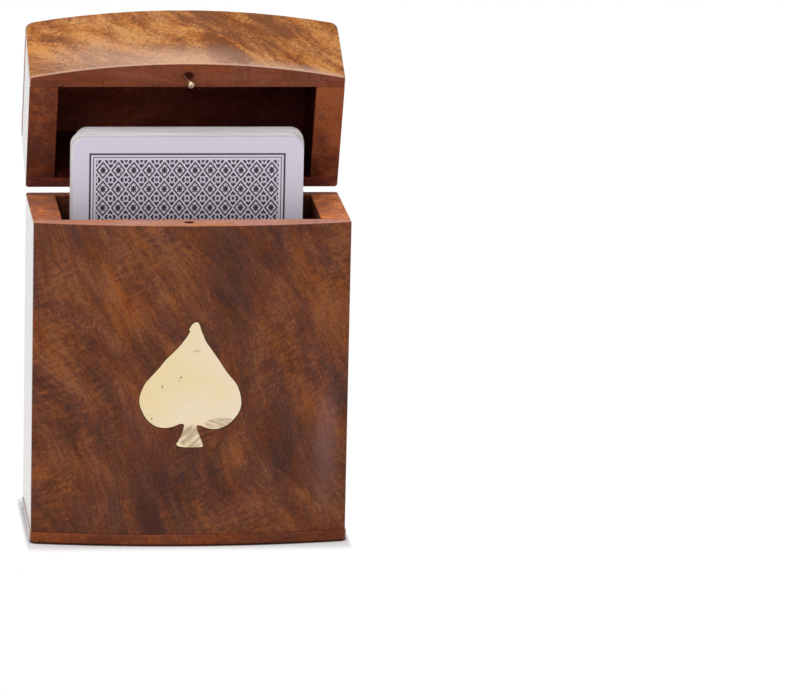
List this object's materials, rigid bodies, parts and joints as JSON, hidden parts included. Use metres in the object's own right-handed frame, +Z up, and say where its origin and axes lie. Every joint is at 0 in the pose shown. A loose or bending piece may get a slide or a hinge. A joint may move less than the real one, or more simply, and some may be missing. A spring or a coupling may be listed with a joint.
{
  "type": "playing card box",
  "caption": "Upright wooden box for a deck of playing cards, with a bowed front, a brass spade inlay and a hinged lid that stands open.",
  "frame": {"origin": "on the underside of the base, midway across the width and midway between the back and the front corners (the bow stands out past them)", "axes": "+Z up, -Y towards the bowed front with the spade, +X to the right as seen from the front"},
  "size_m": [0.08, 0.0602, 0.1274],
  "materials": {
    "varnished_wood": "gloss varnish",
    "plate_wood": "gloss varnish",
    "inner_wood": "satin",
    "card_stock": "coated card with a printed back",
    "polished_brass": "polished",
    "hinge_brass": "satin"
  },
  "bodies": {
    "box": {"base_plate": "plate_wood", "body_front_panel": "varnished_wood", "body_rear_panel": "varnished_wood", "body_left_panel": "varnished_wood", "body_right_panel": "varnished_wood", "floor_block": "inner_wood", "spade_inlay": "polished_brass", "hinge_left_body_leaf": "hinge_brass", "hinge_right_body_leaf": "hinge_brass", "hinge_left_pin": "hinge_brass", "hinge_right_pin": "hinge_brass", "body_hinge_nails": "hinge_brass", "deck_front_card": "card_stock", "deck_middle_cards": "card_stock", "deck_rear_cards": "card_stock"},
    "lid": {"lid_front_panel": "varnished_wood", "lid_rear_panel": "varnished_wood", "lid_left_panel": "varnished_wood", "lid_right_panel": "varnished_wood", "lid_top_plate": "plate_wood", "latch_pin": "polished_brass", "hinge_left_lid_leaf": "hinge_brass", "hinge_right_lid_leaf": "hinge_brass", "lid_hinge_nails": "hinge_brass"}
  },
  "joints": [
    {"name": "lid_hinge", "type": "hinge", "parent": "box", "child": "lid", "pos_m": [0, 0.01797, 0.0821], "axis": [1, 0, 0], "range_deg": [0, 66]}
  ]
}
